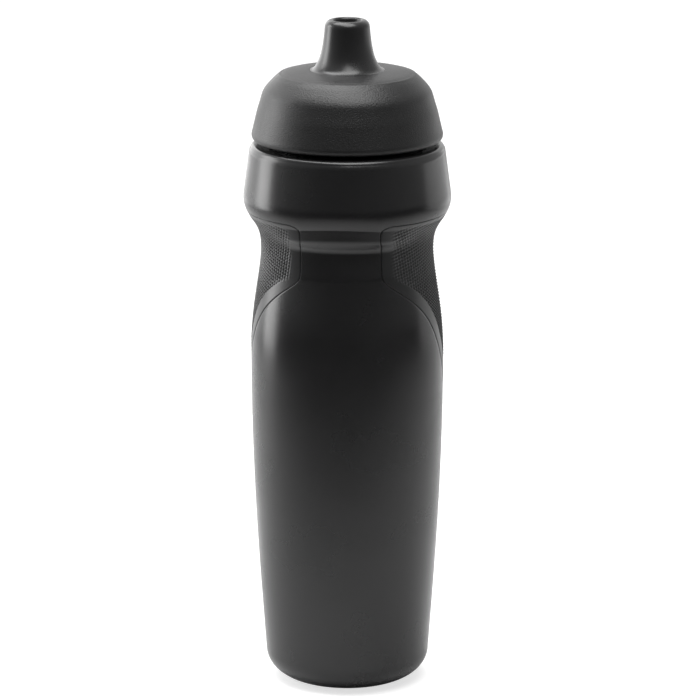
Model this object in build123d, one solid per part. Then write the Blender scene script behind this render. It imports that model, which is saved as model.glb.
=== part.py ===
from build123d import *

import os
from math import hypot, pi

# A sports squeeze bottle: blow-moulded bottle with two grip panels and a screw lid with a self-sealing spout.
# Millimetres, +Z up, front towards -Y. The origin is the centre of the face the bottle stands on.

# ---- Neck and its screw thread -------------------------------------------------------------------------
mouth_radius = 25.4         # bore of the neck
neck_wall = 1.6
thread_lead = 4.0           # rise for one turn, right-handed
thread_depth = 1.4
thread_root_width = 2.0     # along the axis, at the wall
thread_crest_width = 0.9
neck_thread_height = 2.3    # middle of the thread's lower end above the shoulder
neck_thread_turns = 2.3
neck_land = 1.0             # plain neck between the thread's upper end and the rim
cap_thread_turns = 1.7
cap_thread_height = 2.25    # middle of the cap thread's lower end above the cap's edge
thread_root_sink = 0.3      # how far a thread's root is buried in its wall
thread_start_angle = 20.0   # where the neck's thread starts, seen from above
clearance = 0.3             # between the neck and the cap, on the crests and the flanks

# ---- Lid -----------------------------------------------------------------------------------------------
lid_gap = 1.5               # open line between the shoulder and the lid
cap_wall = 1.6
cap_edge_set_back = 0.7     # the hard cap's edge above the soft cover's edge
cover_thickness = 1.8
skirt_flare = 2.9           # the lid is this much wider at its lower edge than level with the gasket
skirt_edge_radius = 1.7
gasket_thickness = 1.5
gasket_overhang = 0.8       # the gasket reaches this far inside the mouth
seat_width = 3.8            # flat land in the cap that presses on the gasket
dome_height = 11.9          # from the gasket's seat to the dome's crest
dome_crest_radius = 20.5
dome_dish = 1.7             # how far the dome falls again from its crest to the spout

# ---- Spout and valve -----------------------------------------------------------------------------------
spout_foot_radius = 13.5
spout_height = 18.1         # above the dome's crest
spout_neck_radius = 9.3     # just above the flare
spout_neck_rise = 6.9       # height of that place above the dome's crest
spout_tip_radius = 8.05
spout_tip_edge = 1.85       # rounding of the outer tip edge
spout_mouth_radius = 4.8
spout_mouth_depth = 6.0
spout_lip_radius = 1.25     # rounding of the mouth's rim
chimney_bore_radius = 4.9
chimney_wall = 1.7
chimney_height = 9.1        # above the dome's crest
valve_thickness = 1.2
valve_rim_width = 1.8
valve_membrane = 0.8
valve_dip = 1.0             # the membrane's centre lies this much lower than its rim
slit_width = 0.25
slit_length = 5.0
assembly_gap = 0.1          # between pieces that are pressed or moulded together

# ---- Bottle --------------------------------------------------------------------------------------------
bottle_wall = 1.4
shoulder_height = 200.0
shoulder_overhang = 0.1     # the shoulder's edge beyond the lid
shoulder_edge_radius = 1.8
collar_overhang = 2.55      # the collar's fullest ring beyond the lid
collar_height = 180.8
waist_radius = 31.12
waist_height = 163.3
barrel_radius = 34.95
barrel_height = 112.0
foot_radius = 29.85
foot_edge_width = 14.0
foot_edge_height = 11.0
push_up_radius = 11.5
push_up_height = 4.5

# ---- Grips and the tongue between them -----------------------------------------------------------------
grip_thickness = 1.6
tongue_half_width = 14.3
grip_top_height = 176.3
grip_corner_radius = 3.2
grip_tip_height = 112.5
grip_shoulder_height = 157.0     # where the panel's straight front edge starts to sweep down and outwards
tongue_ledge_top = 174.4
tongue_ledge_bottom = 170.3
tongue_foot_height = 165.9
tongue_ledge_lean = 0.45         # the ledge is this much further in at its lower edge
tongue_ledge_radius = 1.6
grip_side_room = 0.9             # the panel's side curve starts this far outside its front edge at the waist

# ---- Worked out from the above -------------------------------------------------------------------------
neck_radius = mouth_radius + neck_wall
neck_height = neck_thread_height + neck_thread_turns * thread_lead + thread_root_width / 2 + neck_land
rim_height = shoulder_height + neck_height
cap_bore_radius = neck_radius + thread_depth + clearance
cap_thread_crest = neck_radius + clearance
seat_height = rim_height + gasket_thickness
lid_bottom = shoulder_height + lid_gap
cap_bottom = lid_bottom + cap_edge_set_back
lid_seat_radius = cap_bore_radius + cap_wall + cover_thickness
lid_radius = lid_seat_radius + skirt_flare
skirt_taper = skirt_flare / (seat_height - lid_bottom)
crest_height = seat_height + dome_height
spout_foot_height = crest_height - dome_dish
tip_height = crest_height + spout_height
chimney_radius = chimney_bore_radius + chimney_wall
chimney_top = crest_height + chimney_height
sleeve_radius = chimney_radius + assembly_gap
mouth_floor = tip_height - spout_mouth_depth
collar_radius = lid_radius + collar_overhang
shoulder_radius = lid_radius + shoulder_overhang
thread_offset = (thread_root_width + thread_crest_width) / 2 + clearance
reach = 2 * collar_radius        # larger than any piece is wide


def between(start, end, share):
    """The value that lies a share of the way from start to end."""
    return start + (end - start) * share


def inset(points, depth):
    """The points of an upward outline, each moved inwards, square to the line through its neighbours."""
    moved = []
    for i, (r, z) in enumerate(points):
        below = points[max(i - 1, 0)]
        above = points[min(i + 1, len(points) - 1)]
        dr = above[0] - below[0]
        dz = above[1] - below[1]
        run = hypot(dr, dz)
        moved.append((r - depth * dz / run, z + depth * dr / run))
    return moved


def turned(*edges):
    """The solid made by turning a closed outline of radius and height about the Z axis."""
    return revolve(Plane.XZ * make_face(Curve() + list(edges)), Axis.Z)


def ring(inner, outer, bottom, top):
    """A plain ring, or a disc where inner is 0."""
    height = top - bottom
    align = (Align.CENTER, Align.CENTER, Align.MIN)
    body = Pos(0, 0, bottom) * Cylinder(outer, height, align=align)
    if inner > 0:
        body -= Pos(0, 0, bottom) * Cylinder(inner, height, align=align)
    return body


def body_points():
    """The bottle's outline from the top of its bottom edge to the fullest ring of the collar."""
    lower = (between(foot_radius, barrel_radius, 0.68), between(foot_edge_height, barrel_height, 0.5))
    hip = (between(barrel_radius, waist_radius, 0.19), between(barrel_height, waist_height, 0.48))
    flank = (between(barrel_radius, waist_radius, 0.72), between(barrel_height, waist_height, 0.77))
    throat = (between(waist_radius, collar_radius, 0.44), between(waist_height, collar_height, 0.51))
    return [
        (foot_radius, foot_edge_height),
        lower,
        (barrel_radius, barrel_height),
        hip,
        flank,
        (waist_radius, waist_height),
        throat,
        (collar_radius, collar_height),
    ]


def bottle_form(depth, push_up, top):
    """The bottle's solid form, drawn in by depth all round, closed by a flat top at the height given."""
    wall = inset(body_points(), depth)
    wall[0] = (foot_radius - depth, foot_edge_height)
    wall[-1] = (collar_radius - depth, collar_height)
    corner_r = foot_radius - foot_edge_width
    edge = (shoulder_radius - depth, top)
    shoulder_curve = FilletPolyline(wall[-1], edge, (mouth_radius, top), radius=shoulder_edge_radius)
    return turned(
        ThreePointArc((0, push_up), (push_up_radius / 2, between(depth, push_up, 0.77)), (push_up_radius, depth)),
        Line((push_up_radius, depth), (corner_r, depth)),
        EllipticalCenterArc(
            (corner_r, foot_edge_height), foot_edge_width - depth, foot_edge_height - depth, 270, arc_size=90
        ),
        Spline(*wall, tangents=[(0.07, 1), (0, 1)]),
        shoulder_curve,
        Line((mouth_radius, top), (0, top)),
        Line((0, top), (0, push_up)),
    )


def tongue(depth):
    """The raised ledge under the collar, front and back, between the two grips, drawn in by depth."""
    ledge_radius = between(waist_radius, collar_radius, 0.63) - depth
    root = waist_radius - 2 * bottle_wall
    section = FilletPolyline(
        (root, tongue_foot_height + depth / 2),
        (waist_radius + 0.3 - depth, tongue_foot_height + depth / 2),
        (ledge_radius - tongue_ledge_lean, tongue_ledge_bottom + depth / 2),
        (ledge_radius, tongue_ledge_top),
        (root, tongue_ledge_top + bottle_wall),
        radius=[0.1, tongue_ledge_radius, 0.1],
    )
    closing = Line(section @ 1, section @ 0)
    width = 2 * (tongue_half_width - assembly_gap - depth)
    return turned(section, closing) & Box(width, reach, 2 * reach + shoulder_height)


def grip_window(grow):
    """The prism that cuts the right grip, or with grow its pocket, out of a layer of the bottle's wall."""
    edge = tongue_half_width - grow
    top = grip_top_height + grow
    tip = grip_tip_height - 1.6 * grow
    sweep_start = grip_shoulder_height - grow
    front = [(edge, tip - 1), (reach, tip - 1), (reach, top), (edge, top)]
    outline = make_face(Polyline(*front, close=True))
    outline = fillet(outline.vertices().sort_by_distance((edge, top))[0], grip_corner_radius)
    front_prism = extrude(Plane.XZ * outline, reach, both=True)
    side_y = (waist_radius**2 - tongue_half_width**2) ** 0.5 + grip_side_room + grow
    half = [
        (side_y, sweep_start),
        (0.935 * side_y, between(tip, sweep_start, 0.895)),
        (0.80 * side_y, between(tip, sweep_start, 0.80)),
        (0.60 * side_y, between(tip, sweep_start, 0.655)),
        (0.36 * side_y, between(tip, sweep_start, 0.41)),
        (0.115 * side_y, between(tip, sweep_start, 0.13)),
        (0, tip),
    ]
    right = Spline(*half, tangents=[(0, -1), (-1, 0)])
    left = Spline(*[(-y, z) for y, z in half], tangents=[(0, -1), (1, 0)])
    sides = Polyline(
        (side_y, sweep_start), (side_y, waist_height), (reach, waist_height),
        (reach, top), (-reach, top), (-reach, waist_height), (-side_y, waist_height), (-side_y, sweep_start),
    )
    side_prism = extrude(Plane.YZ * make_face(Curve() + [right, left, sides]), reach)
    return front_prism & side_prism


def thread(wall_radius, crest_radius, turns):
    """A screw thread's rib: a trapezium carried along a right-hand helix that starts at height 0."""
    out = 1 if crest_radius > wall_radius else -1
    section = Polyline(
        (wall_radius - out * thread_root_sink, -thread_root_width / 2),
        (crest_radius, -thread_crest_width / 2),
        (crest_radius, thread_crest_width / 2),
        (wall_radius - out * thread_root_sink, thread_root_width / 2),
        close=True,
    )
    path = Helix(pitch=thread_lead, height=thread_lead * turns, radius=wall_radius)
    return Rot(0, 0, thread_start_angle) * sweep(Plane.XZ * make_face(section), path, is_frenet=True)


def bottle_shell():
    """The blow-moulded bottle: one wall all over, with the pockets for the grips and the threaded neck."""
    inner_top = shoulder_height - neck_wall
    outer = bottle_form(0, push_up_height, shoulder_height)
    cavity = bottle_form(bottle_wall, push_up_height + bottle_wall, inner_top)
    shell = outer + tongue(0) - cavity - tongue(bottle_wall)
    pocket_depth = grip_thickness + assembly_gap
    pocket = grip_window(assembly_gap) - bottle_form(pocket_depth, push_up_height + pocket_depth, inner_top)
    back_depth = pocket_depth + bottle_wall
    back = bottle_form(bottle_wall / 2, push_up_height + bottle_wall / 2, inner_top)
    back -= bottle_form(back_depth, push_up_height + back_depth, inner_top)
    backing = back & grip_window(assembly_gap + bottle_wall)
    shell = shell + backing + mirror(backing, Plane.YZ) - pocket - mirror(pocket, Plane.YZ)
    neck = ring(0, neck_radius, inner_top, rim_height)
    neck += Pos(0, 0, shoulder_height + neck_thread_height) * thread(
        neck_radius, neck_radius + thread_depth, neck_thread_turns
    )
    return shell + neck - ring(0, mouth_radius, inner_top - 1, rim_height + 1)


def grip():
    """The right rubber grip panel, flush with the bottle's outline."""
    outer = bottle_form(0, push_up_height, shoulder_height)
    inner = bottle_form(grip_thickness, push_up_height + 2, shoulder_height - neck_wall)
    return (outer - inner) & grip_window(0)


def lid_points():
    """The lid's outline from level with the gasket's seat to the spout's foot."""
    return [
        (lid_seat_radius - 0.4, seat_height),
        (lid_seat_radius - 1.8, between(seat_height, crest_height, 0.35)),
        (lid_seat_radius - 3.6, between(seat_height, crest_height, 0.605)),
        (between(dome_crest_radius, lid_seat_radius, 0.36), crest_height - 1.1),
        (dome_crest_radius, crest_height),
        (spout_foot_radius, spout_foot_height),
    ]


def lid_form(depth, bottom):
    """The lid's solid form, drawn in by depth, with a flat place inside the spout's foot."""
    dome = inset(lid_points(), depth)
    dome[-1] = (spout_foot_radius, spout_foot_height - depth)
    skirt = (lid_radius - depth + skirt_taper * (lid_bottom - bottom), bottom)
    edge = FilletPolyline((0, bottom), skirt, dome[0], radius=max(skirt_edge_radius - depth, 0.3))
    return turned(
        edge,
        Spline(*dome, tangents=[(-0.35, 1), (-1, -0.25)]),
        Line(dome[-1], (0, dome[-1][1])),
        Line((0, dome[-1][1]), (0, bottom)),
    )


def cap_cover():
    """The soft-touch skin over the hard cap."""
    skin = lid_form(0, lid_bottom) - lid_form(cover_thickness, lid_bottom - 2)
    return skin - ring(0, spout_foot_radius + assembly_gap, lid_bottom, tip_height)


def cap_shell():
    """The hard screw cap: threaded skirt, gasket seat, domed roof and the chimney that carries the spout."""
    depth = cover_thickness + assembly_gap
    solid = lid_form(depth, cap_bottom) + ring(0, chimney_radius, seat_height, chimney_top)
    hollow_points = inset(lid_points(), depth + cap_wall)
    seat_inner = cap_bore_radius - seat_width
    roof = [(seat_inner, seat_height + 2)] + [p for p in hollow_points if p[0] < seat_inner - 1]
    last = roof[-1]
    hollow = turned(
        Line((0, seat_height - 1), (seat_inner, seat_height - 1)),
        Line((seat_inner, seat_height - 1), roof[0]),
        Spline(*roof, tangents=[(0, 1), (-1, -0.1)]),
        Line(last, (0, last[1])),
        Line((0, last[1]), (0, seat_height - 1)),
    )
    solid -= hollow
    solid -= ring(0, cap_bore_radius, cap_bottom - 1, seat_height)
    solid -= ring(0, chimney_bore_radius, seat_height - 1, chimney_top + 1)
    start = cap_bottom + cap_thread_height
    turns_up = (start - shoulder_height - neck_thread_height + thread_offset) / thread_lead
    rib = thread(cap_bore_radius, cap_thread_crest, cap_thread_turns)
    return solid + Pos(0, 0, start) * Rot(0, 0, 360 * turns_up) * rib


def spout():
    """The soft spout: a flared sleeve over the chimney, with the drinking mouth at its tip."""
    foot = (spout_foot_radius, spout_foot_height)
    floor = spout_foot_height - cover_thickness
    flare = (spout_neck_radius, crest_height + spout_neck_rise)
    tip = (spout_tip_radius, tip_height)
    neck_lean = (spout_tip_radius - spout_neck_radius) / (tip[1] - flare[1])
    section = Curve() + [
        Line((0, floor), (spout_foot_radius, floor)),
        Line((spout_foot_radius, floor), foot),
        Spline(foot, (between(flare[0], foot[0], 0.22), between(foot[1], flare[1], 0.5)), flare,
               tangents=[(-1, 0.12), (neck_lean, 1)]),
        FilletPolyline(flare, tip, (0, tip_height), radius=spout_tip_edge),
        Line((0, tip_height), (0, floor)),
    ]
    body = revolve(Plane.XZ * make_face(section), Axis.Z)
    body -= ring(0, sleeve_radius, floor - 1, mouth_floor)
    body -= ring(0, spout_mouth_radius, mouth_floor - 1, tip_height + 1)
    lip = body.edges().filter_by(GeomType.CIRCLE).group_by(Axis.Z)[-1].sort_by(SortBy.RADIUS)[0]
    return fillet(lip, spout_lip_radius)


def slit_valve():
    """The silicone valve that sits on the chimney: a rim and a dished membrane with a cross slit."""
    bottom = chimney_top
    rim_outer = chimney_radius
    rim_inner = rim_outer - valve_rim_width
    rim = ring(rim_inner, rim_outer, bottom, bottom + valve_thickness)
    low = bottom + valve_thickness / 2 - valve_dip
    high = bottom + valve_thickness / 2
    edge = rim_inner + 0.2
    membrane = turned(
        ThreePointArc((0, low), (edge / 2, between(low, high, 0.26)), (edge, high)),
        Line((edge, high), (edge, high - valve_membrane / 2)),
        ThreePointArc(
            (edge, high - valve_membrane / 2),
            (edge / 2, between(low, high, 0.26) - valve_membrane),
            (0, low - valve_membrane),
        ),
        Line((0, low - valve_membrane), (0, low)),
    )
    valve = rim + membrane
    for angle in (0, 90):
        valve -= Pos(0, 0, low) * Rot(0, 0, angle) * Box(slit_length, slit_width, 4 * valve_thickness)
    return valve


def valve_retainer():
    """The clip ring that holds the valve down on the chimney, under the spout's inner shoulder."""
    bottom = chimney_top + valve_thickness
    return ring(spout_mouth_radius + 0.2, chimney_radius, bottom, mouth_floor - assembly_gap)


def cap_gasket():
    """The flat sealing ring pressed between the cap's seat and the bottle's rim."""
    return ring(mouth_radius - gasket_overhang, cap_bore_radius - clearance, rim_height, seat_height)


right_grip = grip()
parts = {
    "bottle_shell": bottle_shell(),
    "right_grip": right_grip,
    "left_grip": mirror(right_grip, Plane.YZ),
    "cap_shell": cap_shell(),
    "cap_cover": cap_cover(),
    "spout": spout(),
    "slit_valve": slit_valve(),
    "valve_retainer": valve_retainer(),
    "cap_gasket": cap_gasket(),
}
os.makedirs("parts", exist_ok=True)
for name, piece in parts.items():
    export_step(piece, os.path.join("parts", name + ".step"))
print("thread lead per radian, in metres:", round(thread_lead / (2 * pi) / 1000, 9))
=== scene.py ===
"""Looks of a sports squeeze bottle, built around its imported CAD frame.

Sizes are written in millimetres, the unit of the bottle's drawing, and turned into metres as each mesh is
made. Angles round the bottle are measured from the front (-Y) towards the right side (+X).
"""
import logging
from dataclasses import dataclass, field
from enum import Enum

import bpy
import numpy as np
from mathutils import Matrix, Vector


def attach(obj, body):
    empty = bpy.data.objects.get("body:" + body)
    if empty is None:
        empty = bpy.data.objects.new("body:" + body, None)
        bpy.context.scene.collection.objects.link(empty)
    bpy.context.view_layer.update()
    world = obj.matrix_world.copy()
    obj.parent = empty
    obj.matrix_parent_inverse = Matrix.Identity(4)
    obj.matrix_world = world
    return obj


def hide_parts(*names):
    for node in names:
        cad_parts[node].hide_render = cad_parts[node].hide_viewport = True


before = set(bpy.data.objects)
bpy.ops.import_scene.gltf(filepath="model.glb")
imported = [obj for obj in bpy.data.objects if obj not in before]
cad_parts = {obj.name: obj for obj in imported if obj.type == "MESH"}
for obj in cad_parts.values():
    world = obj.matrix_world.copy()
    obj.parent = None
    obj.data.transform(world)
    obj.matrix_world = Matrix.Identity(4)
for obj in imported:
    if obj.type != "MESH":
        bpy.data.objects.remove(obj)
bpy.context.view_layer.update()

MM = 0.001
TAU = 2 * np.pi
QUARTER = np.pi / 2

log = logging.getLogger("squeeze_bottle")

Array = np.ndarray
Tree = bpy.types.NodeTree
Socket = bpy.types.NodeSocket
Point = tuple[float, float]


class Slot(Enum):
    """The record's material slots."""

    BOTTLE = "bottle"
    GRIP = "grip"
    CAP = "cap"
    COVER = "soft_cover"
    SPOUT = "spout"
    SILICONE = "silicone"


class Side(Enum):
    """The side of the bottle that a grip lies on, as the sign of its x."""

    RIGHT = 1
    LEFT = -1


# ---------------------------------------------------------------------------------------------------------
# Curves and grids
# ---------------------------------------------------------------------------------------------------------


def smooth_step(x: Array, low: float, high: float) -> Array:
    """Rises smoothly from 0 at low to 1 at high: 3t^2 - 2t^3 of the share t of the way.

    Args:
        x: Where to read the step.
        low: Where it leaves 0.
        high: Where it reaches 1. It may be less than low, which turns the step round.

    Returns:
        The step's value at each x.
    """
    t = np.clip((np.asarray(x, float) - low) / (high - low), 0.0, 1.0)
    return t * t * (3.0 - 2.0 * t)


def spline(x: Array, knots: Array, values: Array, first_slope: float, last_slope: float) -> Array:
    """A cubic spline with continuous curvature through the knots.

    The slopes at the knots solve the tridiagonal system that makes the second derivative continuous, and each
    stretch is then the cubic Hermite curve between its two ends.

    Args:
        x: Where to read the curve.
        knots: Increasing places.
        values: The curve's value at each knot.
        first_slope: Slope at the first knot.
        last_slope: Slope at the last knot.

    Returns:
        The curve's value at each x. Outside the knots it goes on in a straight line.
    """
    knots, values = np.asarray(knots, float), np.asarray(values, float)
    step = np.diff(knots)
    chord = np.diff(values) / step
    count = len(knots)
    system = np.eye(count)
    right = np.zeros(count)
    right[0], right[-1] = first_slope, last_slope
    inner = np.arange(1, count - 1)
    system[inner, inner - 1] = step[1:]
    system[inner, inner] = 2.0 * (step[:-1] + step[1:])
    system[inner, inner + 1] = step[:-1]
    right[1:-1] = 3.0 * (step[1:] * chord[:-1] + step[:-1] * chord[1:])
    slope = np.linalg.solve(system, right)
    x = np.asarray(x, float)
    k = np.clip(np.searchsorted(knots, x) - 1, 0, count - 2)
    t = np.clip((x - knots[k]) / step[k], 0.0, 1.0)
    curve = (
        (1 + 2 * t) * (1 - t) ** 2 * values[k]
        + t * (1 - t) ** 2 * step[k] * slope[k]
        + t * t * (3 - 2 * t) * values[k + 1]
        + t * t * (t - 1) * step[k] * slope[k + 1]
    )
    beyond = np.minimum(x - knots[0], 0) * first_slope + np.maximum(x - knots[-1], 0) * last_slope
    return curve + beyond


def soft_maximum(first: Array, second: Array, softness: float) -> Array:
    """The larger of two curves, rounded where they cross: the log of their exponentials' sum, over softness."""
    return softness * np.logaddexp(first / softness, second / softness)


def spline_path(knots: Array, count: int, first_slope: Point, last_slope: Point) -> tuple[Array, Array]:
    """A smooth curve through (radius, height) points: each of the two is a spline over the length run.

    Args:
        knots: (points, 2) array.
        count: How many even steps of the length to read.
        first_slope: How fast the radius and the height change with the length at the first point.
        last_slope: The same at the last point.

    Returns:
        The lengths, and a (count, 2) array of points.
    """
    run = np.concatenate([[0], np.cumsum(np.linalg.norm(np.diff(knots, axis=0), axis=1))])
    at = np.linspace(0, run[-1], count)
    return at, np.column_stack([spline(at, run, knots[:, k], first_slope[k], last_slope[k]) for k in (0, 1)])


def arc(centre: Point, radii: Point, start: float, end: float, count: int) -> Array:
    """Points on an ellipse's arc, as (radius, height) rows: centre + radii * (cos, sin) of even angles.

    Args:
        centre: The ellipse's centre.
        radii: Its two half axes, across and along the height.
        start: First angle in degrees, from the outward direction towards the top.
        end: Last angle in degrees.
        count: How many points.

    Returns:
        A (count, 2) array.
    """
    angle = np.radians(np.linspace(start, end, count))
    return np.column_stack([centre[0] + radii[0] * np.cos(angle), centre[1] + radii[1] * np.sin(angle)])


def line(start: Point, end: Point, count: int) -> Array:
    """Evenly spaced (radius, height) points from start to end, both included."""
    return np.linspace(start, end, count)


def path(*stretches: Array) -> Array:
    """Joins stretches of an outline end to end, and leaves out points that fall on the one before.

    Args:
        *stretches: Arrays of (radius, height) rows.

    Returns:
        The joined rows.
    """
    joined = np.vstack(stretches)
    apart = np.linalg.norm(np.diff(joined, axis=0), axis=1) > 1e-4
    return joined[np.concatenate([[True], apart])]


def around(radius: Array, angle: Array, height: Array) -> Array:
    """Points at a radius and a height, at an angle from the front towards +X.

    Args:
        radius: Distance from the axis, in millimetres.
        angle: Angle from -Y towards +X, in radians.
        height: Height, in millimetres.

    Returns:
        The points in metres, with x, y, z as the last axis.
    """
    radius, angle, height = np.broadcast_arrays(radius, angle, height)
    return np.stack([radius * np.sin(angle), -radius * np.cos(angle), height], axis=-1) * MM


def grid_faces(rows: int, columns: int, wrap: bool) -> Array:
    """The quads of a grid of vertices numbered row by row.

    Args:
        rows: Number of rows.
        columns: Number of columns.
        wrap: True if the last column joins the first.

    Returns:
        A (faces, 4) array of vertex numbers.
    """
    last = columns if wrap else columns - 1
    row, column = np.meshgrid(np.arange(rows - 1), np.arange(last), indexing="ij")
    beside = (column + 1) % columns
    here = row * columns
    quads = np.stack([here + column, here + beside, here + columns + beside, here + columns + column], axis=-1)
    return quads.reshape(-1, 4)


def make_piece(name: str, vertices: Array, faces: list[Array], sharp: float = 40.0) -> bpy.types.Object:
    """A mesh object in the scene, with smooth shading except over sharp edges.

    Args:
        name: Name of the piece.
        vertices: (count, 3) array, in metres.
        faces: Arrays of vertex numbers, one array for each number of corners.
        sharp: Edges that turn by more than this many degrees stay sharp.

    Returns:
        The object, at the origin.
    """
    mesh = bpy.data.meshes.new(name)
    mesh.from_pydata(vertices.reshape(-1, 3).tolist(), [], [face for group in faces for face in group.tolist()])
    mesh.validate()
    mesh.shade_smooth()
    mesh.set_sharp_from_angle(angle=np.radians(sharp))
    piece = bpy.data.objects.new(name, mesh)
    bpy.context.scene.collection.objects.link(piece)
    return piece


def closed_tube(name: str, points: Array, poles: bool) -> bpy.types.Object:
    """A closed surface from rings of points that follow an outline anticlockwise as seen with +X to the right.

    Args:
        name: Name of the piece.
        points: (rings, columns, 3) array, in metres.
        poles: True if the first and last rings shrink to a point each, which closes the surface there. If it is
            False, the last ring joins the first, as on a ring-shaped piece.

    Returns:
        The object.
    """
    rings, columns = points.shape[:2]
    if not poles:
        points = np.concatenate([points, points[:1]])
        quads = grid_faces(rings + 1, columns, wrap=True) % (rings * columns)
        return make_piece(name, points[:-1], [quads])
    vertices = np.vstack([points[0].mean(0)[None], points[1:-1].reshape(-1, 3), points[-1].mean(0)[None]])
    quads = grid_faces(rings - 2, columns, wrap=True) + 1
    ring = np.arange(columns)
    beside = (ring + 1) % columns
    top = len(vertices) - 1
    first = np.stack([np.zeros(columns, int), beside + 1, ring + 1], axis=-1)
    last_ring = 1 + (rings - 3) * columns
    last = np.stack([last_ring + ring, last_ring + beside, np.full(columns, top)], axis=-1)
    return make_piece(name, vertices, [quads, first, last])


# ---------------------------------------------------------------------------------------------------------
# Shader nodes
# ---------------------------------------------------------------------------------------------------------


def map_range(tree: Tree, value: Socket, source: Point, target: Point, smooth: bool = False) -> Socket:
    """Takes a value from one range to another and holds it there beyond the ends.

    Args:
        tree: The tree to add the node to.
        value: What to read.
        source: The first range.
        target: The second range.
        smooth: True for a smooth step between the two ends, False for a straight line.

    Returns:
        The result.
    """
    node = tree.nodes.new("ShaderNodeMapRange")
    node.interpolation_type = "SMOOTHSTEP" if smooth else "LINEAR"
    for name, number in zip(("From Min", "From Max", "To Min", "To Max"), (*source, *target)):
        node.inputs[name].default_value = number
    tree.links.new(value, node.inputs["Value"])
    return node.outputs["Result"]


def vector_math(tree: Tree, operation: str, vector: Socket, other: tuple[float, float, float]) -> Socket:
    """Works on a vector with a fixed one.

    Args:
        tree: The tree to add the node to.
        operation: The node's operation.
        vector: What to read.
        other: The fixed vector.

    Returns:
        The new vector.
    """
    node = tree.nodes.new("ShaderNodeVectorMath")
    node.operation = operation
    node.inputs[1].default_value = other
    tree.links.new(vector, node.inputs[0])
    return node.outputs["Vector"]


def end_tree(tree: Tree, kind: str, lit: Socket, seen: Socket) -> None:
    """Ends a tree with one shader for light and reflections and another for the camera.

    Args:
        tree: The tree to end.
        kind: The kind of its output node.
        lit: The shader for light and reflections.
        seen: The shader for the camera.
    """
    output = tree.nodes.new(kind)
    rays = tree.nodes.new("ShaderNodeLightPath")
    mix = tree.nodes.new("ShaderNodeMixShader")
    tree.links.new(rays.outputs["Is Camera Ray"], mix.inputs["Fac"])
    tree.links.new(lit, mix.inputs[1])
    tree.links.new(seen, mix.inputs[2])
    tree.links.new(mix.outputs[0], output.inputs["Surface"])


# ---------------------------------------------------------------------------------------------------------
# Finishes
# ---------------------------------------------------------------------------------------------------------


@dataclass(frozen=True)
class Finish:
    """A moulded surface: a colour with faint variation, a roughness that varies, and a grain in the surface.

    Every pattern is read from Object coordinates in metres, so a scale of 1000 is about one feature a
    millimetre. A height of 0 leaves its relief out.
    """

    name: str
    slot: Slot
    colour: tuple[float, float, float]
    roughness: Point
    index: float = 1.5
    tone_scale: float = 60.0
    tone_change: float = 0.12
    tone_band: Point = (0.3, 0.7)
    smear_scale: float = 35.0
    smear_band: Point = (0.35, 0.65)
    grain_scale: float = 2500.0
    grain_height: float = 0.0
    wave_scale: float = 45.0
    wave_height: float = 0.0

    def material(self) -> bpy.types.Material:
        """The finish as a node material, made once and shared.

        Returns:
            The material.
        """
        found = bpy.data.materials.get(self.name)
        if found:
            return found
        material = bpy.data.materials.new(self.name)
        material.use_nodes = True
        tree = material.node_tree
        shader = tree.nodes["Principled BSDF"]
        place = tree.nodes.new("ShaderNodeTexCoord").outputs["Object"]
        smears = self._noise(tree, place, self.smear_scale, 5.0)
        shader.inputs["IOR"].default_value = self.index
        tree.links.new(self._tone(tree, place), shader.inputs["Base Color"])
        tree.links.new(map_range(tree, smears, self.smear_band, self.roughness), shader.inputs["Roughness"])
        normal = self._relief(tree, place)
        if normal:
            tree.links.new(normal, shader.inputs["Normal"])
        return material

    @staticmethod
    def _noise(tree: Tree, place: Socket, scale: float, detail: float) -> Socket:
        """A noise texture.

        Args:
            tree: The material's tree.
            place: The coordinates to read.
            scale: Features a metre.
            detail: How many finer layers it has.

        Returns:
            Its value.
        """
        noise = tree.nodes.new("ShaderNodeTexNoise")
        noise.inputs["Scale"].default_value = scale
        noise.inputs["Detail"].default_value = detail
        tree.links.new(place, noise.inputs["Vector"])
        return noise.outputs["Fac"]

    def _tone(self, tree: Tree, place: Socket) -> Socket:
        """The base colour, a little darker and lighter in soft clouds.

        Args:
            tree: The material's tree.
            place: The coordinates to read.

        Returns:
            The colour.
        """
        ramp = tree.nodes.new("ShaderNodeValToRGB")
        shades = (1.0 - self.tone_change, 1.0 + self.tone_change)
        for stop, position, shade in zip(ramp.color_ramp.elements, self.tone_band, shades):
            stop.position = position
            stop.color = (*[c * shade for c in self.colour], 1.0)
        tree.links.new(self._noise(tree, place, self.tone_scale, 3.0), ramp.inputs["Fac"])
        return ramp.outputs["Color"]

    def _relief(self, tree: Tree, place: Socket) -> Socket | None:
        """The fine grain on top of the slow waves of a moulded wall.

        Args:
            tree: The material's tree.
            place: The coordinates to read.

        Returns:
            The normal, or None if the finish has neither.
        """
        normal = None
        for scale, height, detail in (
            (self.wave_scale, self.wave_height, 1.0),
            (self.grain_scale, self.grain_height, 2.0),
        ):
            if not height:
                continue
            bump = tree.nodes.new("ShaderNodeBump")
            bump.inputs["Strength"].default_value = 1.0
            bump.inputs["Distance"].default_value = height * MM
            tree.links.new(self._noise(tree, place, scale, detail), bump.inputs["Height"])
            if normal:
                tree.links.new(normal, bump.inputs["Normal"])
            normal = bump.outputs["Normal"]
        return normal


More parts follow.
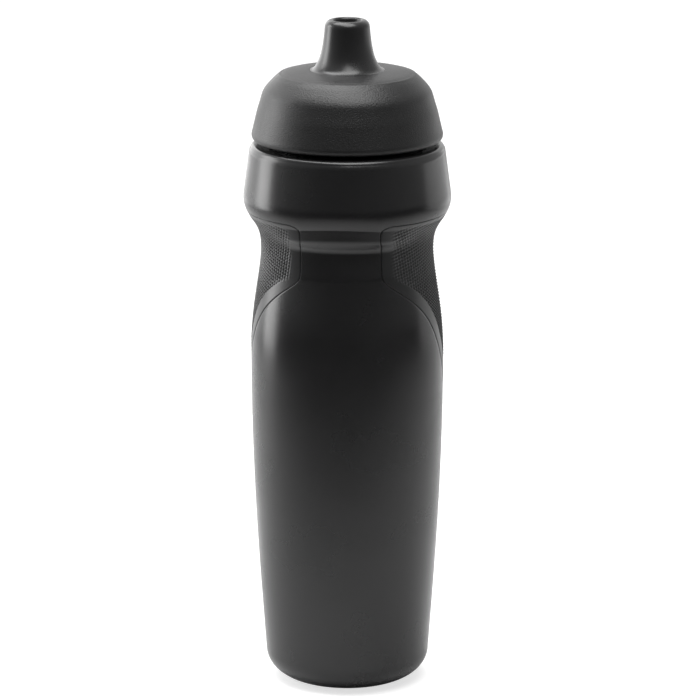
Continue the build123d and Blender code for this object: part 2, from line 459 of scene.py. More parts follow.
BLOWN_GLOSS = Finish(
    "blown_gloss", Slot.BOTTLE, (0.0105, 0.0105, 0.0108), (0.21, 0.29), wave_height=0.12, wave_scale=30.0,
    grain_height=0.010, grain_scale=1300.0,
)
GRIP_RUBBER = Finish(
    "grip_rubber", Slot.GRIP, (0.011, 0.011, 0.0114), (0.27, 0.36), grain_height=0.012, grain_scale=3500.0
)
SOFT_TOUCH = Finish(
    "soft_touch", Slot.COVER, (0.0065, 0.0065, 0.0067), (0.41, 0.48), grain_height=0.12, grain_scale=2000.0,
    tone_scale=120.0,
)
SPOUT_SATIN = Finish(
    "spout_satin", Slot.SPOUT, (0.011, 0.011, 0.0113), (0.25, 0.31), grain_height=0.004, grain_scale=2600.0
)
HARD_CAP = Finish(
    "hard_cap", Slot.CAP, (0.014, 0.014, 0.0144), (0.34, 0.44), grain_height=0.01, grain_scale=1600.0
)
SILICONE = Finish(
    "silicone", Slot.SILICONE, (0.16, 0.16, 0.158), (0.36, 0.44), grain_height=0.003, grain_scale=2200.0,
    index=1.42,
)


def dress(piece: bpy.types.Object, finish: Finish) -> bpy.types.Object:
    """Gives a piece its one finish.

    Args:
        piece: The object to dress.
        finish: Its finish.

    Returns:
        The same object.
    """
    piece.data.materials.clear()
    piece.data.materials.append(finish.material())
    return piece


# ---------------------------------------------------------------------------------------------------------
# The bottle's outline, shared by the bottle and its grips
# ---------------------------------------------------------------------------------------------------------


@dataclass
class Outline:
    """The outer surface of the bottle as a radius over the angle and the height, and the grips' edge on it.

    A Point is a height and the side's radius there. The sweep's points are heights over the grip's tip and the
    edge's distance from the side's middle line.
    """

    foot_radius: float = 29.85
    foot_height: float = 11.0
    foot_slope: float = 0.075
    low_barrel: Point = (61.0, 33.28)
    barrel_radius: float = 34.95
    barrel_height: float = 112.0
    high_barrel: Point = (136.8, 34.2)
    under_barrel: Point = (151.5, 32.17)
    waist_radius: float = 31.12
    waist_height: float = 163.3
    over_waist: Point = (169.4, 32.3)
    rise: Point = (172.3, 33.95)
    under_collar: Point = (175.4, 36.1)
    collar_radius: float = 37.55
    collar_height: float = 180.8
    over_collar: float = 184.4
    over_collar_drop: float = 0.35
    shoulder_radius: float = 35.1
    shoulder_height: float = 200.0
    ledge_top: float = 174.4
    ledge_bottom: float = 170.1
    ledge_foot: float = 166.75
    ledge_round: float = 1.4
    ledge_lean: float = 0.15
    ledge_steps: int = 240
    slope_round: float = 0.9
    run_out_lean: float = 0.03
    run_out_softness: float = 0.04
    crease_band: float = 1.0
    landing_radius: float = 31.8
    tongue_half_width: float = 14.3
    grip_top: float = 176.3
    grip_tip: float = 112.5
    grip_corner: float = 3.2
    corner_across: float = 5.2
    sweep: tuple[Point, ...] = (
        (0.0, 0.0), (6.0, 3.2), (18.0, 10.1), (29.0, 17.1), (35.7, 22.8), (39.8, 26.3), (43.0, 28.1),
        (47.0, 28.6),
    )
    sweep_slopes: Point = (0.5, 0.1)
    sweep_join: float = 43.0
    sweep_softness: float = 0.035
    tip_length: float = 6.0
    tip_round: float = 1.3
    edge_most: float = 89.0
    edge_rest: float = 50.0
    edge_rest_below: float = 22.0
    crease_arch: float = 0.9
    blend_start: float = 24.0
    blend_end: float = 58.0

    def side(self, height: Array) -> Array:
        """The radius at the sides, where the waist is one smooth hollow.

        It is a spline through the foot, the barrel, the waist and the collar, and above the collar it leans in
        evenly to the shoulder.

        Args:
            height: Where to read it.

        Returns:
            The radius at each height.
        """
        points = np.array([
            (self.foot_height, self.foot_radius), self.low_barrel, (self.barrel_height, self.barrel_radius),
            self.high_barrel, self.under_barrel, (self.waist_height, self.waist_radius), self.over_waist,
            self.rise, self.under_collar, (self.collar_height, self.collar_radius),
            (self.over_collar, self.collar_radius - self.over_collar_drop),
        ])
        drop = self.shoulder_radius - self.collar_radius + self.over_collar_drop
        lean = drop / (self.shoulder_height - self.over_collar)
        return spline(height, points[:, 0], points[:, 1], self.foot_slope, lean)

    def front(self, height: Array) -> Array:
        """The radius at the front and the back, where a ledge stands under the collar.

        From the collar's slope it turns sharply into a ledge that is nearly upright, then rounds over into a
        second slope that runs out on the waist. The lean of each stretch is given, smooth steps join them, and
        the radius is the running sum of the lean. The second slope takes up what is left of the drop. Lower
        down a soft maximum joins the run-out to the side's own outline.

        Args:
            height: Where to read it.

        Returns:
            The radius at each height.
        """
        side = self.side(height)
        crease = float(self.side(np.array(self.ledge_top)))
        low, high = self.ledge_foot - self.ledge_round, self.ledge_foot + self.ledge_round
        steps, step = np.linspace(low, self.ledge_top, self.ledge_steps, retstep=True)
        run_out = smooth_step(steps, low, high)
        face = self.run_out_lean + (self.ledge_lean - self.run_out_lean) * run_out
        slope = run_out * smooth_step(
            steps, self.ledge_bottom + self.slope_round, self.ledge_bottom - self.slope_round)
        slope *= (crease - self.landing_radius - face.sum() * step) / (slope.sum() * step)
        ledge = np.interp(height, steps, self.landing_radius + np.cumsum(face + slope) * step)
        ledge = ledge - self.run_out_lean * np.clip(low - height, 0.0, None)
        joined = soft_maximum(ledge, side, self.run_out_softness)
        over = np.where(height < self.ledge_top, ledge, side)
        return np.where(height < self.ledge_top - self.crease_band, joined, over)

    def edge_angle(self, height: Array) -> Array:
        """The angle from the front to the grip's edge.

        The edge is upright at tongue_half_width from the middle, with a rounded corner at its top. Lower down
        it sweeps round to the side along a curve given by its distance from the side's middle line, and ends
        in a rounded tip there. Below the tip and above the top the angle only spreads the grid's columns.

        Args:
            height: Where to read it.

        Returns:
            The angle at each height, in radians.
        """
        height = np.asarray(height, float)
        radius = self.side(height)
        rise = np.clip((height - self.grip_top) / self.grip_corner + 1.0, 0.0, 1.0)
        across = self.tongue_half_width + self.corner_across * (1.0 - np.sqrt(1.0 - rise**2))
        upright = np.arcsin(across / radius)
        for _ in range(4):  # the radius depends a little on the angle, and four rounds settle it
            upright = np.arcsin(across / self.radius(upright, height))
        swept = self._swept_angle(height, radius)
        joined = soft_maximum(swept, upright, self.sweep_softness)
        join = self.grip_tip + self.sweep_join
        faded = upright + (joined - upright) * smooth_step(height, self.waist_height, join)
        edge = np.where(height > join, faded, joined)
        edge = np.where(height < self.waist_height, edge, upright)
        most, rest = np.radians(self.edge_most), np.radians(self.edge_rest)
        below = rest + (most - rest) * smooth_step(height, self.grip_tip - self.edge_rest_below, self.grip_tip)
        return np.where(height < self.grip_tip, below, np.minimum(edge, most))

    def _swept_angle(self, height: Array, radius: Array) -> Array:
        """The angle to the swept part of the grip's edge, whose tip is rounded as a parabola.

        Args:
            height: Where to read it.
            radius: The side's radius at each height.

        Returns:
            The angle at each height, in radians.
        """
        above, distance = np.array(self.sweep).T
        along = spline(height, self.grip_tip + above, distance, *self.sweep_slopes)
        in_tip = np.clip(height - self.grip_tip, 0.0, self.tip_length)
        tip = self.tip_round * in_tip * smooth_step(height, self.grip_tip + self.tip_length, self.grip_tip)
        along = np.sqrt(np.clip(along, 0.0, None) ** 2 + tip)
        return np.arccos(np.clip(along / radius, 0.0, 1.0))

    def radius(self, angle: Array, height: Array) -> Array:
        """The radius anywhere: the ledge at the front and back, blended out over the grips to the sides.

        Args:
            angle: Angle from the front, in radians.
            height: Height.

        Returns:
            The radius at each point.
        """
        from_front = np.abs(np.arcsin(np.clip(np.sin(angle), -1, 1)))
        share = smooth_step(np.degrees(from_front), self.blend_end, self.blend_start)
        side = self.side(height)
        return side + share * (self.front(height) - side)


# ---------------------------------------------------------------------------------------------------------
# The bottle
# ---------------------------------------------------------------------------------------------------------


@dataclass
class Bottle:
    """The blow-moulded shell: base, barrel, waist, collar, shoulder and threaded neck, inside and out."""

    outline: Outline
    wall: float = 1.4
    corner_width: float = 14.0
    push_up_radius: float = 11.5
    push_up_height: float = 4.5
    foot_ring: float = 12.1
    weld_height: float = 0.35
    weld_width: float = 0.45
    weld_end: Point = (9.0, 7.5)
    neck_radius: float = 27.0
    neck_round: float = 0.6
    mouth_radius: float = 25.4
    rim_height: float = 213.5
    rim_round: float = 0.4
    shoulder_round: float = 1.8
    inside_radius: float = 33.0
    thread_lead: float = 4.0
    thread_depth: float = 1.4
    thread_root: float = 1.0
    thread_crest: float = 0.45
    thread_start: float = 202.3
    thread_turns: float = 2.3
    thread_fade: float = 0.12
    thread_angle: float = 20.0
    pocket_depth: float = 1.75
    pocket_round: float = 0.22
    seam_height: float = 0.02
    seam_width: float = 0.28
    arch_low: Point = (167.0, 172.5)
    arch_high: Point = (185.0, 176.0)
    base_rings: int = 26
    front_columns: int = 26
    side_columns: int = 22

    def build(self) -> bpy.types.Object:
        """Makes the shell and puts it in the place of its CAD node.

        Returns:
            The shell.
        """
        rings, outer = self._rings()
        radius, height = rings[:, :1], rings[:, 1:]
        angle, pocket = self._columns(height[:, 0], outer)
        body = outer[:, None]
        surface = self.outline.radius(angle, height)
        seam = np.exp(-((surface * np.sin(angle)) / self.seam_width) ** 2) * self.seam_height
        radius = np.where(body, surface - pocket + seam, radius) + self._thread(rings, angle)
        x, y = radius * np.sin(angle), radius * np.cos(angle)
        height = height + self._pinch_off(rings, x, y) + np.where(body, self._arch(x, height), 0)
        piece = closed_tube("bottle_body", around(radius, angle, height), poles=True)
        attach(dress(piece, BLOWN_GLOSS), "bottle")
        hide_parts("bottle_shell")
        return piece

    def _rings(self) -> tuple[Array, Array]:
        """The whole outline, from the middle of the base, out, up, over the rim and down the inside.

        Returns:
            The outline as (radius, height) rows, and which of them are the outer wall, where the radius is the
            Outline's.
        """
        o = self.outline
        corner = o.foot_radius - self.corner_width
        rise = self.push_up_height - 0.1
        bow = (self.push_up_radius**2 + rise**2) / (2 * rise)
        turn = np.degrees(np.arccos(self.push_up_radius / bow))
        base = path(
            arc((0, self.push_up_height - bow), (bow, bow), 90, turn, 20),
            line((self.push_up_radius + 0.2, 0.03), (self.foot_ring, 0.0), 3),
            line((self.foot_ring, 0), (corner, 0), 5),
            arc((corner, o.foot_height), (self.corner_width, o.foot_height), -90, 0, 26)[:-1],
        )
        levels = self._wall_levels()
        wall = np.column_stack([o.side(levels), levels])
        rows = path(base, wall, self._top(), self._inside(corner, bow, turn))
        number = np.arange(len(rows))
        return rows, (number >= len(base)) & (number < len(base) + len(wall))

    def _wall_levels(self) -> Array:
        """The heights of the outer wall's rings, close together at the ends of the grips and over the ledge.

        Returns:
            The heights, in order.
        """
        o = self.outline
        tip, top = o.grip_tip, o.grip_top
        close = np.array([-0.12, -0.02, 0.02, 0.12])
        return np.sort(np.concatenate([
            np.linspace(o.foot_height, tip - 3, 46), np.linspace(tip - 2.6, tip - 0.3, 6), tip + close,
            np.linspace(tip + 0.4, o.ledge_foot - 2, 82), np.linspace(o.ledge_foot - 1.7, top - 0.4, 40),
            [o.ledge_top - 0.08, o.ledge_top + 0.08], top + close,
            np.linspace(top + 0.4, 188, 26), np.linspace(189, o.shoulder_height - self.shoulder_round, 8),
        ]))

    def _top(self) -> Array:
        """The shoulder's rounded edge, its flat, the upright neck and the rounded rim.

        Returns:
            (radius, height) rows.
        """
        edge, top = self.outline.shoulder_radius, self.outline.shoulder_height
        shoulder, foot, lip = self.shoulder_round, self.neck_round, self.rim_round
        return path(
            arc((edge - shoulder, top - shoulder), (shoulder, shoulder), 8, 90, 9),
            line((edge - shoulder, top), (self.neck_radius + foot, top), 8),
            arc((self.neck_radius + foot, top + foot), (foot, foot), 270, 180, 5),
            line((self.neck_radius, top + foot + 0.1), (self.neck_radius, self.rim_height - lip), 62),
            arc((self.neck_radius - lip, self.rim_height - lip), (lip, lip), 0, 90, 5),
            arc((self.mouth_radius + lip, self.rim_height - lip), (lip, lip), 90, 180, 5),
        )

    def _inside(self, corner: float, bow: float, turn: float) -> Array:
        """The inside, from the mouth down to the middle of the floor.

        Args:
            corner: How far out the base's rounded corner begins.
            bow: The radius of the push-up's arc.
            turn: The angle at which that arc ends, in degrees.

        Returns:
            (radius, height) rows.
        """
        o = self.outline
        under = o.shoulder_height - self.wall - 0.2
        levels = np.concatenate([np.linspace(o.collar_height + 12, 150, 26), np.linspace(146, 14, 22)])
        corner_radii = (self.corner_width - self.wall - 0.3, o.foot_height - self.wall)
        return path(
            line((self.mouth_radius, self.rim_height - 0.6), (self.mouth_radius, under), 8),
            line((self.mouth_radius + 1, under - 0.2), (self.inside_radius, under - 0.6), 5),
            np.column_stack([o.side(levels) - self.wall - self._backing(levels), levels]),
            arc((corner, o.foot_height), corner_radii, 0, -90, 12),
            line((corner - 1, self.wall), (self.foot_ring + 0.3, self.wall), 3),
            arc((0, self.push_up_height - bow), (bow + self.wall, bow + self.wall), turn + 1.2, 90, 12),
        )

    def _backing(self, height: Array) -> Array:
        """How much further in the inside lies level with the grips, so that the wall clears their pockets.

        Args:
            height: Heights on the inside.

        Returns:
            The distance at each height.
        """
        tip, top = self.outline.grip_tip, self.outline.grip_top
        share = smooth_step(height, tip - 6, tip - 1) * smooth_step(height, top + 8, top + 1)
        return (self.pocket_depth + 0.1) * share

    def _columns(self, height: Array, outer: Array) -> tuple[Array, Array]:
        """The angle of each grid point and how deep the grips' pockets are there.

        Each quarter has columns from the front to the grip's edge and from the edge to the side, so the same
        column always lies on the edge. At the edge the surface rounds over by pocket_round and drops upright
        into the pocket, and two rows close together do the same at the pocket's top and tip.

        Args:
            height: The height of each ring.
            outer: Which rings are the outer wall.

        Returns:
            The angles and the depths, each with a row for every ring and a column for every grid column.
        """
        o = self.outline
        edge = o.edge_angle(np.clip(height, o.foot_height, o.shoulder_height))[:, None]
        fine = self.pocket_round / 15.0
        front = np.concatenate([
            [0, 0.014, 0.03], np.linspace(0.06, 1 - 3 * fine, self.front_columns),
            [1 - 1.2 * fine, 1 - 0.4 * fine, 1.0],
        ])
        side = np.concatenate([[0.0, 0.012], np.linspace(0.04, 1.0, self.side_columns)])
        quarter = np.hstack([edge * front, edge + (QUARTER - edge) * side])
        drop = np.zeros(quarter.shape[1])
        drop[len(front) - 2:len(front)] = 0.25 * self.pocket_round, self.pocket_round
        drop[len(front):] = self.pocket_depth
        half = np.hstack([quarter, np.pi - quarter[:, -2::-1]])
        half_drop = np.concatenate([drop, drop[-2::-1]])
        angle = np.hstack([half, TAU - half[:, -2:0:-1]])
        all_drop = np.concatenate([half_drop, half_drop[-2:0:-1]])
        level = (height > o.grip_tip) & (height < o.grip_top) & outer
        return angle, level[:, None] * all_drop

    def _arch(self, x: Array, height: Array) -> Array:
        """How much the crease over the ledge rises towards the middle, so that it looks straight from the
        front: a parabola over the tongue's width that fades out above and below the ledge.

        Args:
            x: Distance from the middle.
            height: Height.

        Returns:
            The rise at each point.
        """
        bow = np.clip(1.0 - (x / self.outline.tongue_half_width) ** 2, 0.0, 1.0)
        fade = smooth_step(height, *self.arch_low), smooth_step(height, *self.arch_high)
        return self.outline.crease_arch * bow * fade[0] * fade[1]

    def _thread(self, rings: Array, angle: Array) -> Array:
        """The neck's thread as an addition to the radius.

        The distance from the nearest turn of the helix, along the axis, gives a trapezium: full height up to
        thread_crest and none beyond thread_root. Both ends run out over thread_fade of a turn.

        Args:
            rings: The outline's (radius, height) rows.
            angle: The angle of each grid point.

        Returns:
            The thread's depth at each grid point.
        """
        height = rings[:, 1:]
        on_neck = (np.abs(rings[:, :1] - self.neck_radius) < 0.01) & (height > self.outline.shoulder_height)
        turn = (angle - QUARTER - np.radians(self.thread_angle)) / TAU
        up = (height - self.thread_start) / self.thread_lead
        nearest = np.round(up - turn) + turn
        away = np.abs(up - nearest) * self.thread_lead
        rib = np.clip((self.thread_root - away) / (self.thread_root - self.thread_crest), 0.0, 1.0)
        start = np.clip(nearest / self.thread_fade, 0, 1)
        end = np.clip((self.thread_turns - nearest) / self.thread_fade, 0, 1)
        return np.where(on_neck, self.thread_depth * rib * (start * end), 0.0)

    def _pinch_off(self, rings: Array, x: Array, y: Array) -> Array:
        """The low weld line that blow moulding leaves across the middle of the base: a bell curve over x.

        Args:
            rings: The outline's (radius, height) rows.
            x: Each grid point's distance from the middle, across.
            y: The same, front to back.

        Returns:
            The change of height at each grid point.
        """
        under = (np.arange(len(rings)) < self.base_rings)[:, None] & (rings[:, :1] < self.push_up_radius)
        ridge = np.exp(-((x / self.weld_width) ** 2)) * smooth_step(np.abs(y), *self.weld_end)
        return np.where(under, -self.weld_height * ridge, 0.0)


# ---------------------------------------------------------------------------------------------------------
# The grips
# ---------------------------------------------------------------------------------------------------------


@dataclass
class Grip:
    """One rubber grip panel, flush with the bottle, with a field of small slanted scales."""

    outline: Outline
    side: Side
    gap: float = 0.14
    tip_gap: float = 2.2
    edge_most: float = 89.3
    edge_round: float = 0.3
    thickness: float = 1.5
    scale_height: float = 0.50
    scale_middle: float = 0.45
    scale_power: float = 0.7
    scale_across: float = 1.25
    scale_along: float = 1.2
    ridge: float = 0.1
    steep: float = 76.0
    shallow: float = 14.0
    bend: float = 1.2
    bend_length: float = 17.0
    border: float = 3.6
    border_width: float = 0.5
    border_step: float = 0.12
    border_levels: Point = (158.0, 148.0)
    edge_fade: Point = (3.0, 7.5)
    end_fade: Point = (0.6, 2.4)
    step_fade: Point = (0.5, 4.0)
    columns: int = 251
    rows: int = 326
    back_step: int = 5

    def build(self) -> bpy.types.Object:
        """Makes the panel and puts it in the place of its CAD node.

        Returns:
            The panel.
        """
        o = self.outline
        low, high = o.grip_tip + self.tip_gap * self.gap, o.grip_top - self.gap
        # Rows and columns lie closer at the rim, to draw its rounding.
        height = low + (high - low) * np.linspace(0, 1, self.rows - 4)
        height = np.sort(np.concatenate([height, [low + 0.08, low + 0.2, high - 0.08, high - 0.2]]))
        edge = o.edge_angle(height)
        radius = o.side(height)
        slant = np.hypot(1.0, np.gradient(edge * radius, height))
        edge = np.minimum(edge + self.gap * slant / radius, np.radians(self.edge_most))[:, None]
        near = np.array([0.0, 0.0014, 0.0045])
        across = np.concatenate([near, np.linspace(0.009, 0.991, self.columns - 6), 1 - near[::-1]])
        angle = edge + (np.pi - 2 * edge) * across
        height = np.repeat(height[:, None], self.columns, axis=1)
        surface = o.radius(angle, height)
        back = around(surface - self.thickness, angle, height)
        from_edge = (QUARTER - edge - np.abs(angle - QUARTER)) * radius[:, None] / slant[:, None]
        from_edge = np.maximum(from_edge, 0.0)
        from_ends = np.maximum(np.minimum(height - low, high - height), 0.0)
        scales = self._scales(angle, height, from_edge, from_ends, surface)
        surface = surface - self._rounding(np.minimum(from_edge, from_ends)) + scales
        return self._close(around(surface, angle, height), back)

    def _rounding(self, distance: Array) -> Array:
        """How far the surface drops near an edge: a quarter circle of edge_round."""
        inside = np.clip(self.edge_round - distance, 0.0, self.edge_round)
        return self.edge_round - np.sqrt(self.edge_round**2 - inside**2)

    def _scales(self, angle: Array, height: Array, from_edge: Array, from_ends: Array, radius: Array) -> Array:
        """The relief of the scales.

        Two families of slanted waves cross, one steep and one shallow, mirrored front to back about the side's
        middle line. Their product is a field of small pointed scales, longer along the steep family. It fades
        out towards the front and back edges, and stops at a smooth border along the swept lower edge.

        Args:
            angle: The angle of each grid point.
            height: Its height.
            from_edge: Its distance from the panel's front or back edge.
            from_ends: Its distance from the panel's top or tip.
            radius: Its distance from the axis.

        Returns:
            What the scales add to the radius at each point.
        """
        along = (QUARTER - np.abs(angle - QUARTER)) * radius + self.bend * np.sin(height / self.bend_length)
        steep, shallow = np.radians(self.steep), np.radians(self.shallow)
        first = along * np.sin(steep) + height * np.cos(steep)
        second = -along * np.sin(shallow) + height * np.cos(shallow)
        wave_a = 0.5 + 0.5 * np.cos(TAU * first / self.scale_across)
        wave_b = 0.5 + 0.5 * np.cos(TAU * second / self.scale_along)
        scale = (wave_a * (self.ridge + (1 - self.ridge) * wave_b)) ** self.scale_power
        low = smooth_step(height, *self.border_levels)
        bordered = smooth_step(from_edge, self.border, self.border + self.border_width)
        fade = smooth_step(from_edge, *self.edge_fade) * (1 - low) + bordered * low
        fade = fade * smooth_step(from_ends, *self.end_fade)
        step = self.border_step * bordered * low * smooth_step(from_ends, *self.step_fade)
        return self.scale_height * (scale - self.scale_middle) * fade - step * (1 - scale)

    @staticmethod
    def _rim(rows: int, columns: int) -> Array:
        """The border of a grid, once round.

        Args:
            rows: Number of rows.
            columns: Number of columns.

        Returns:
            The numbers of its vertices.
        """
        count = rows * columns
        return np.concatenate([
            np.arange(columns), columns - 1 + columns * np.arange(1, rows),
            count - 2 - np.arange(columns - 1), columns * np.arange(rows - 2, 0, -1),
        ])

    def _close(self, outer: Array, inner: Array) -> bpy.types.Object:
        """Joins the outer sheet to a coarser inner one round their rims, with faces outward.

        Each side of an inner quad at the rim meets back_step sides of outer quads in one flat face. The left
        panel is the right one mirrored.

        Args:
            outer: (rows, columns, 3) points of the outside.
            inner: The same of the inside, of which every back_step-th row and column is used.

        Returns:
            The panel.
        """
        inner = inner[:: self.back_step, :: self.back_step]
        count = outer.shape[0] * outer.shape[1]
        rim = self._rim(*outer.shape[:2])
        back_rim = self._rim(*inner.shape[:2]) + count
        runs = np.concatenate([rim, rim[:1]])
        pieces = np.arange(len(back_rim))[:, None] * self.back_step + np.arange(self.back_step + 1)
        band = np.column_stack([runs[pieces][:, ::-1], back_rim, np.roll(back_rim, -1)])
        groups = [
            grid_faces(*outer.shape[:2], wrap=False),
            grid_faces(*inner.shape[:2], wrap=False)[:, ::-1] + count,
            band,
        ]
        vertices = np.concatenate([outer.reshape(-1, 3), inner.reshape(-1, 3)])
        vertices = vertices * [self.side.value, 1.0, 1.0]
        if self.side is Side.LEFT:
            groups = [group[:, ::-1] for group in groups]
        name = self.side.name.lower()
        piece = make_piece(f"{name}_grip_panel", vertices, groups)
        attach(dress(piece, GRIP_RUBBER), "bottle")
        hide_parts(f"{name}_grip")
        return piece


# ---------------------------------------------------------------------------------------------------------
# The lid
# ---------------------------------------------------------------------------------------------------------


@dataclass
class Lid:
    """The lid's soft cover and its spout. The hard cap, the valve and the seals are the CAD nodes."""

    bottom: float = 201.5
    edge_radius: float = 34.98
    edge_round: float = 1.7
    edge_height: float = 2.0
    cover: float = 1.75
    foot_radius: float = 13.5
    foot_height: float = 226.9
    bead_radius: float = 24.5
    bead_width: float = 0.5
    bead_height: float = 0.17
    tip_height: float = 245.0
    tip_outer: float = 5.72
    tip_inner: float = 5.68
    tip_width: float = 2.36
    tip_drop: float = 2.5
    lip_drop: float = 1.3
    sleeve_radius: float = 6.75
    mouth_radius: float = 4.8
    mouth_floor: float = 239.0
    columns: int = 224

    def build(self) -> list[bpy.types.Object]:
        """Makes the cover and the spout and puts them in the place of their CAD nodes.

        Returns:
            The two pieces.
        """
        made = []
        for name, rows, finish, node in (
            ("lid_cover", self._cover_rows(), SOFT_TOUCH, "cap_cover"),
            ("spout_sleeve", self._spout_rows(), SPOUT_SATIN, "spout"),
        ):
            angle = np.linspace(0, TAU, self.columns, endpoint=False)[None, :]
            points = around(rows[:, 0][:, None], angle, rows[:, 1][:, None])
            piece = closed_tube(name, points, poles=False)
            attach(dress(piece, finish), "lid")
            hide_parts(node)
            made.append(piece)
        return made

    def _dome(self, depth: float, count: int) -> Array:
        """The cover's outline over its dome, drawn in by depth square to itself.

        It is a spline path through the skirt, the bevel at the top of it and the flat cone round the spout. A
        low bell curve on the outside makes the bead between the bevel and the cone.

        Args:
            depth: How far inside the outer surface it lies. The bead is only there at 0.
            count: How many points.

        Returns:
            (radius, height) rows.
        """
        knots = np.array([
            (32.72, 211.4), (31.6, 215.2), (30.95, 217.45), (30.55, 218.7), (30.05, 219.7), (29.2, 220.9),
            (27.2, 223.1), (25.4, 224.75), (24.2, 225.45), (20.5, 226.35), (16.8, 226.75),
            (self.foot_radius + 0.1, self.foot_height),
        ])
        at, curve = spline_path(knots, count, (-0.24, 0.97), (-0.93, 0.0))
        if not depth:
            from_bead = (curve[:, 0] - self.bead_radius) / self.bead_width
            curve[:, 1] += self.bead_height * np.exp(-(from_bead**2))
        tangent = np.gradient(curve, at, axis=0)
        tangent /= np.linalg.norm(tangent, axis=1)[:, None]
        return curve + depth * np.column_stack([-tangent[:, 1], tangent[:, 0]])

    def _cover_rows(self) -> Array:
        """The cover's closed outline: rounded lower edge, skirt and dome, then back along its inside.

        Returns:
            (radius, height) rows.
        """
        outer = self._dome(0.0, 120)
        inner = self._dome(self.cover, 60)[::-1]
        lean = (self.edge_radius - outer[0, 0]) / (outer[0, 1] - self.bottom)
        widest = (self.edge_radius - lean * self.edge_height, self.bottom + self.edge_height)
        edge = path(
            [(self.edge_radius - self.cover, self.bottom + 0.12)],
            arc((widest[0] - self.edge_round, widest[1]), (self.edge_round, self.edge_height), -80, 12, 14),
            line((widest[0] - 0.07, widest[1] + 0.6), tuple(outer[0]), 20),
        )
        last = inner[-1]
        skirt = line(tuple(last), (self.edge_radius - self.cover, self.bottom + 0.2), 18)
        return path(edge, outer, line(tuple(outer[-1]), tuple(inner[0]), 3), inner, skirt)[:-1]

    def _spout_rows(self) -> Array:
        """The spout's closed outline: concave flare, tapering neck, rounded tip, mouth and sleeve bore.

        Returns:
            (radius, height) rows.
        """
        floor = self.foot_height - self.cover
        knots = np.array([
            (self.foot_radius, self.foot_height), (12.4, 227.35), (11.25, 228.75), (10.1, 231.0), (9.25, 233.9),
            (8.72, 236.8), (8.36, 239.7), (8.12, 242.3),
        ])
        _, neck = spline_path(knots, 70, (-0.97, 0.22), (-0.08, 1.0))
        tip = arc((self.tip_outer, self.tip_height - self.tip_drop), (self.tip_width, self.tip_drop), 5, 90, 16)
        lip = arc((self.tip_inner, self.tip_height - self.lip_drop),
                  (self.tip_inner - self.mouth_radius, self.lip_drop), 90, 180, 12)
        return path(
            line((self.foot_radius, floor), (self.foot_radius, self.foot_height), 3), neck, tip, lip,
            line((self.mouth_radius, lip[-1, 1] - 0.1), (self.mouth_radius, self.mouth_floor), 6),
            line((self.mouth_radius, self.mouth_floor), (self.sleeve_radius, self.mouth_floor), 3),
            line((self.sleeve_radius, self.mouth_floor), (self.sleeve_radius, floor), 8),
            line((self.sleeve_radius, floor), (self.foot_radius - 0.2, floor), 5),
        )


@dataclass(frozen=True)
class FrameFinishes:
    """The finishes of the CAD nodes that stay in view, by node."""

    nodes: tuple[tuple[str, Finish], ...] = (
        ("cap_shell", HARD_CAP),
        ("valve_retainer", HARD_CAP),
        ("slit_valve", SILICONE),
        ("cap_gasket", SILICONE),
    )

    def apply(self) -> None:
        """Puts each finish on its node."""
        for node, finish in self.nodes:
            dress(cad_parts[node], finish)


# ---------------------------------------------------------------------------------------------------------
# The studio
# ---------------------------------------------------------------------------------------------------------


def look_at(thing: bpy.types.Object, place: tuple[float, float, float], height: float) -> None:
    """Puts a lamp or a camera in its place and points it at the bottle's axis.

    Args:
        thing: The object.
        place: Where it stands.
        height: The height on the axis that it points at.
    """
    thing.location = place
    thing.rotation_euler = (Vector((0, 0, height)) - thing.location).to_track_quat("-Z", "Y").to_euler()
    bpy.context.scene.collection.objects.link(thing)


@dataclass
class SoftBox:
    """A rectangular lamp that points at a place on the bottle's axis."""

    name: str
    place: tuple[float, float, float]
    size: Point
    power: float
    target: float = 0.12

    def build(self) -> bpy.types.Object:
        """Makes the lamp.

        Returns:
            The lamp's object.
        """
        lamp = bpy.data.lights.new(self.name, "AREA")
        lamp.shape = "RECTANGLE"
        lamp.size, lamp.size_y = self.size
        lamp.energy = self.power
        made = bpy.data.objects.new(self.name, lamp)
        made.visible_camera = False
        look_at(made, self.place, self.target)
        return made


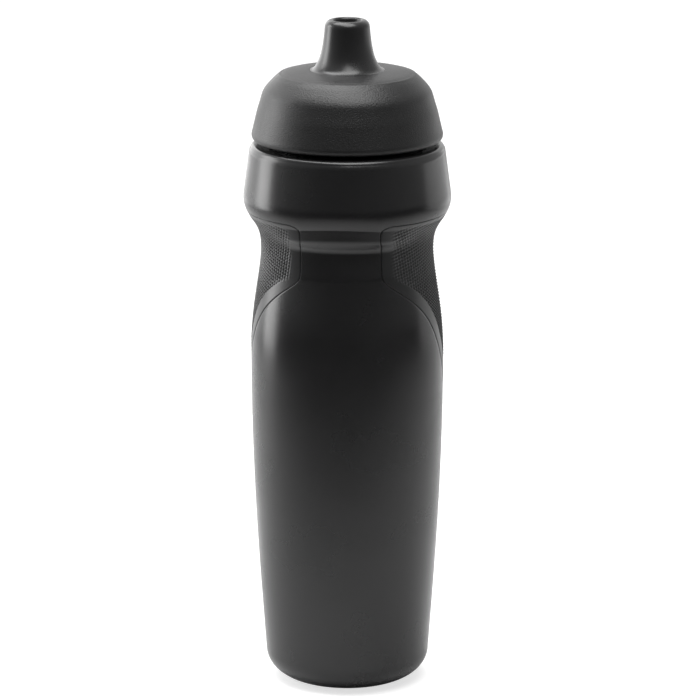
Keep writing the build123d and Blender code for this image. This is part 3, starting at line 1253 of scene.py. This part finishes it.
@dataclass
class Studio:
    """A pale floor, a pale surround that is dark on the camera's side, soft lamps and the camera."""

    distance: float = 1.6
    camera_height: float = 0.5143
    aim_height: float = 0.12
    azimuth: float = 4.5
    lens: float = 232.42
    sensor: float = 36.0
    shift: Point = (0.00386, 0.01226)
    far: float = 20.0
    floor_radius: float = 3.0
    floor_sides: int = 96
    floor_centre: Point = (0.03, 0.13)
    # painted shade on the floor: the distances over which its colour for light and reflections darkens, and its
    # colours at either end
    floor_shade_fall: Point = (0.17, 0.58)
    floor_shade_colours: Point = (0.62, 0.05)
    floor_stretch: float = 0.7
    floor_seen: float = 0.45
    floor_glow: float = 0.68
    room: Point = (0.13, 0.9)
    room_sides: Point = (1.0, 0.85)
    lamps: list[SoftBox] = field(default_factory=lambda: [
        SoftBox("left_strip", (-0.69, 0.14, 0.30), (0.28, 0.60), 3.0, target=0.26),
        SoftBox("left_wall", (-0.45, 0.50, 0.30), (0.66, 0.60), 1.9, target=0.20),
        SoftBox("right_wall", (0.52, 0.46, 0.10), (0.80, 0.20), 0.5, target=0.10),
        SoftBox("top_box", (-0.10, -0.08, 1.25), (1.7, 0.85), 27.0),
        SoftBox("back_box", (0.0, 1.5, 0.7), (2.2, 1.4), 3.0),
    ])

    def build(self) -> None:
        """Makes the floor, the world, the lamps and the camera, and sets the view transform."""
        self._floor()
        self._world()
        for lamp in self.lamps:
            lamp.build()
        self._camera()
        bpy.context.scene.view_settings.view_transform = "Standard"

    def _camera(self) -> None:
        """The camera stands at the azimuth and height given and looks at the axis at aim_height."""
        turn = np.radians(self.azimuth)
        data = bpy.data.cameras.new("camera")
        data.lens = self.lens
        data.sensor_width = self.sensor
        data.shift_x, data.shift_y = self.shift
        data.clip_end = self.far
        camera = bpy.data.objects.new("camera", data)
        place = (self.distance * np.sin(turn), -self.distance * np.cos(turn), self.camera_height)
        look_at(camera, place, self.aim_height)
        bpy.context.scene.camera = camera

    def _floor(self) -> None:
        """A round floor that the camera sees white with the bottle's faint shadow.

        For light and reflections its colour carries painted shade: white round the bottle and behind it, and
        darkening to grey towards the front, where it stands in for the unlit floor. The painted shade reads the
        distance from floor_centre, with the part behind the centre left out.
        """
        ring = np.linspace(0, TAU, self.floor_sides, endpoint=False)
        rim = np.column_stack([self.floor_radius * np.cos(ring), self.floor_radius * np.sin(ring), 0 * ring])
        floor = make_piece("floor", rim, [np.arange(self.floor_sides)[None, :]])
        material = bpy.data.materials.new("floor_white_painted_shade")
        material.use_nodes = True
        tree = material.node_tree
        tree.nodes.clear()
        offset = tree.nodes.new("ShaderNodeTexCoord").outputs["Object"]
        for operation, other in (
            ("SUBTRACT", (*self.floor_centre, 0)), ("MULTIPLY", (self.floor_stretch, 1, 1)),
            ("MINIMUM", (10, 0, 10)),
        ):
            offset = vector_math(tree, operation, offset, other)
        length = tree.nodes.new("ShaderNodeVectorMath")
        length.operation = "LENGTH"
        tree.links.new(offset, length.inputs[0])
        # painted shade: the floor's colour for light and reflections goes from white near the bottle to grey
        # towards the front
        painted_floor_shade = map_range(tree, length.outputs["Value"], self.floor_shade_fall, self.floor_shade_colours, smooth=True)
        bounce = tree.nodes.new("ShaderNodeBsdfDiffuse")
        tree.links.new(painted_floor_shade, bounce.inputs["Color"])
        pale = tree.nodes.new("ShaderNodeBsdfDiffuse")
        pale.inputs["Color"].default_value = (*[self.floor_seen] * 3, 1)
        glow = tree.nodes.new("ShaderNodeEmission")
        glow.inputs["Strength"].default_value = self.floor_glow
        seen = tree.nodes.new("ShaderNodeAddShader")
        tree.links.new(pale.outputs[0], seen.inputs[0])
        tree.links.new(glow.outputs[0], seen.inputs[1])
        end_tree(tree, "ShaderNodeOutputMaterial", bounce.outputs[0], seen.outputs[0])
        floor.data.materials.append(material)

    def _world(self) -> None:
        """White to the camera.

        For light and reflections it is bright behind the bottle and dark on the camera's side, and a little
        darker on the right, as in a studio with a white sweep behind and an unlit room in front.
        """
        world = bpy.data.worlds.new("studio")
        world.use_nodes = True
        bpy.context.scene.world = world
        tree = world.node_tree
        tree.nodes.clear()
        direction = tree.nodes.new("ShaderNodeTexCoord").outputs["Generated"]
        parts = tree.nodes.new("ShaderNodeSeparateXYZ")
        tree.links.new(direction, parts.inputs[0])
        room = tree.nodes.new("ShaderNodeBackground")
        for axis, target, name in (("Y", self.room, "Color"), ("X", self.room_sides, "Strength")):
            share = map_range(tree, parts.outputs[axis], (-1.0, 1.0), target)
            tree.links.new(share, room.inputs[name])
        white = tree.nodes.new("ShaderNodeBackground")
        white.inputs["Color"].default_value = (1, 1, 1, 1)
        end_tree(tree, "ShaderNodeOutputWorld", room.outputs[0], white.outputs[0])


def main() -> None:
    """Builds the studio and every piece in order."""
    logging.basicConfig(level=logging.INFO, format="%(name)s: %(message)s")
    Studio().build()
    outline = Outline()
    made = [Bottle(outline).build()]
    made += [Grip(outline, side).build() for side in Side]
    made += Lid().build()
    FrameFinishes().apply()
    for piece in made:
        log.info("%s: %d faces", piece.name, len(piece.data.polygons))


if __name__ == "__main__":
    main()
